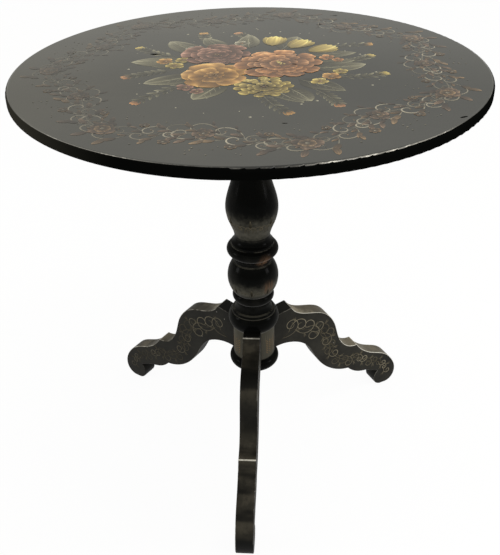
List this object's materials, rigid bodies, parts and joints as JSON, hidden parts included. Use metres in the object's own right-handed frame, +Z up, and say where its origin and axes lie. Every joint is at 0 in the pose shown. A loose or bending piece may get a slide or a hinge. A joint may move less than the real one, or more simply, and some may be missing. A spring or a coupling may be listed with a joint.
{
  "type": "tilt top table",
  "caption": "Round tilt-top pedestal table: painted black lacquer top hinged on a block, turned column, fret-cut scroll legs, slide bolt under the top.",
  "frame": {"origin": "on the floor under the middle of the column and of the top", "axes": "+Z up along the column, -Y along the front leg, the way the painted face turns when tilted"},
  "size_m": [0.7059, 0.706, 0.721],
  "materials": {
    "painted_top": "black lacquer with painted flowers and scrolls, semi-gloss",
    "black_lacquer": "worn black lacquer with faint gilt scrolls",
    "stained_wood": "dark stained, matt",
    "pale_wood": "bare",
    "iron": "dull",
    "brass": "tarnished"
  },
  "bodies": {
    "base": {"column": "black_lacquer", "bottom_boss": "black_lacquer", "boss_screw": "iron", "leg_front": "black_lacquer", "leg_left": "black_lacquer", "leg_right": "black_lacquer", "pivot_block": "stained_wood", "tenon_wedge": "pale_wood", "pivot_pin_left": "iron", "pivot_pin_right": "iron", "strike_plate": "brass", "strike_screws": "brass"},
    "top": {"tabletop": "painted_top", "batten_left": "stained_wood", "batten_right": "stained_wood", "batten_screws": "iron", "pivot_bush_left": "brass", "pivot_bush_right": "brass", "bolt_plate": "brass", "bolt_plate_screws": "brass", "bolt_staple_inner": "brass", "bolt_staple_outer": "brass"},
    "bolt": {"bolt_rod": "brass", "bolt_knob": "brass"}
  },
  "joints": [
    {"name": "top_tilt", "type": "hinge", "parent": "base", "child": "top", "pos_m": [0, -0.065, 0.6897], "axis": [1, 0, 0], "range_deg": [0, 90]},
    {"name": "bolt_slide", "type": "slide", "parent": "top", "child": "bolt", "axis": [0, 1, 0], "range_m": [-0.01, 0]}
  ]
}
